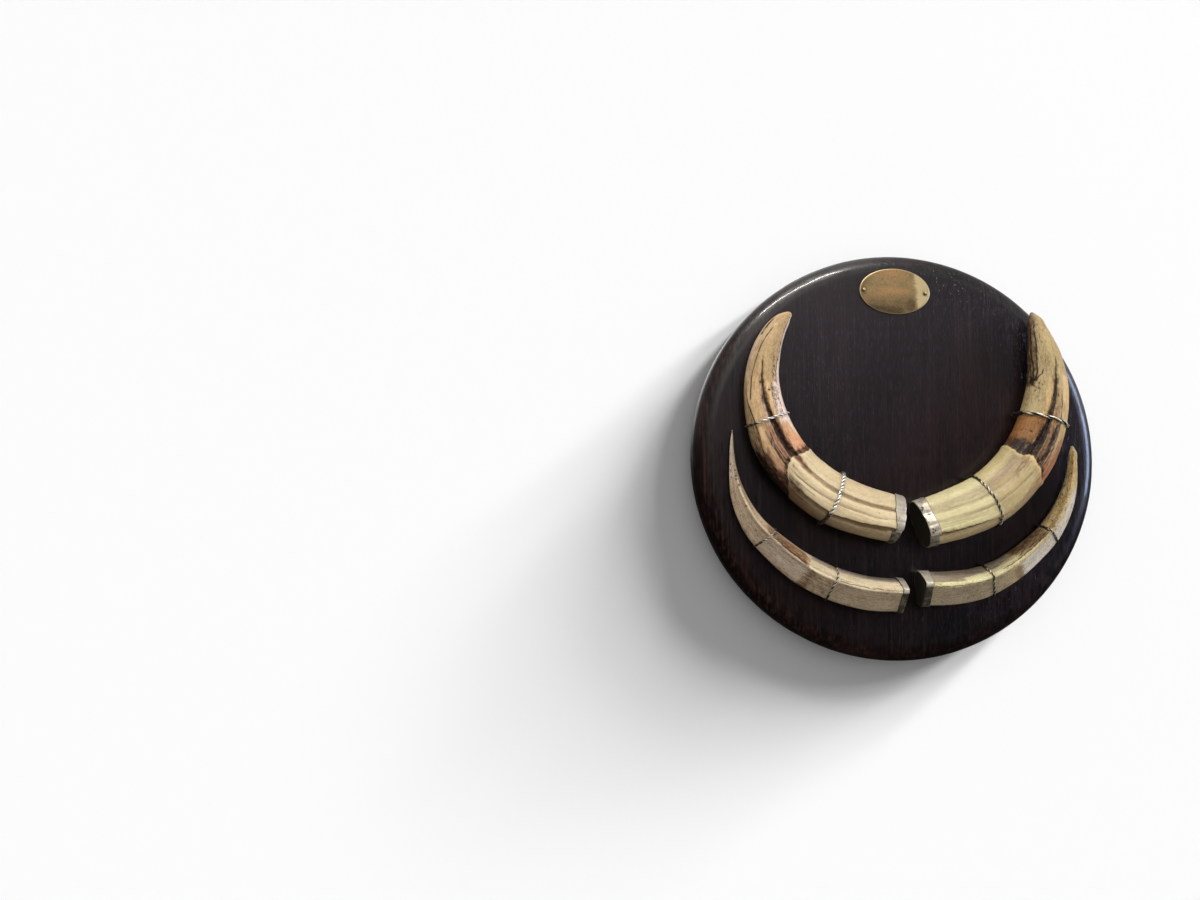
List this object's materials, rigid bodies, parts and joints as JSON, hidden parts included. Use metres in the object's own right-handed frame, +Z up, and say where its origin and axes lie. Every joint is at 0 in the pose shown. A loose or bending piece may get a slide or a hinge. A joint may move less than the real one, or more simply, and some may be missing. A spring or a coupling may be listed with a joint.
{
  "type": "warthog tusk wall plaque",
  "caption": "Round dark wooden wall plaque with wired-on warthog tusks in silver caps and an oval brass name plate left blank.",
  "frame": {"origin": "centre of the board's flat back", "axes": "+Z up as the plaque hangs, -Y out of the wall towards the viewer, +X to the viewer's right; the board's back lies on the plane Y = 0"},
  "size_m": [0.36, 0.069, 0.36],
  "materials": {
    "dark_wood": "near-black stained and waxed hardwood, satin, with a fine upright grain and a worn reddish-brown edge",
    "ivory": "bare tooth: satin cream ivory with fine lengthwise grain, stained orange-brown to black below the gum line",
    "silver": "thin old silver sheet, worn bright with dark tarnish",
    "silver_wire": "dull tarnished silver wire",
    "brass": "aged brass with a mottled brown patina"
  },
  "bodies": {
    "root": {"board": "dark_wood", "tusk_upper_left": "ivory", "tusk_upper_right": "ivory", "tusk_lower_left": "ivory", "tusk_lower_right": "ivory", "cap_upper_left": "silver", "cap_upper_right": "silver", "cap_lower_left": "silver", "cap_lower_right": "silver", "wire_upper_left_middle": "silver_wire", "wire_upper_left_base": "silver_wire", "wire_upper_right_middle": "silver_wire", "wire_upper_right_base": "silver_wire", "wire_lower_left_middle": "silver_wire", "wire_lower_left_base": "silver_wire", "wire_lower_right_middle": "silver_wire", "wire_lower_right_base": "silver_wire", "name_plate": "brass", "plate_pin_left": "brass", "plate_pin_right": "brass"}
  },
  "joints": []
}
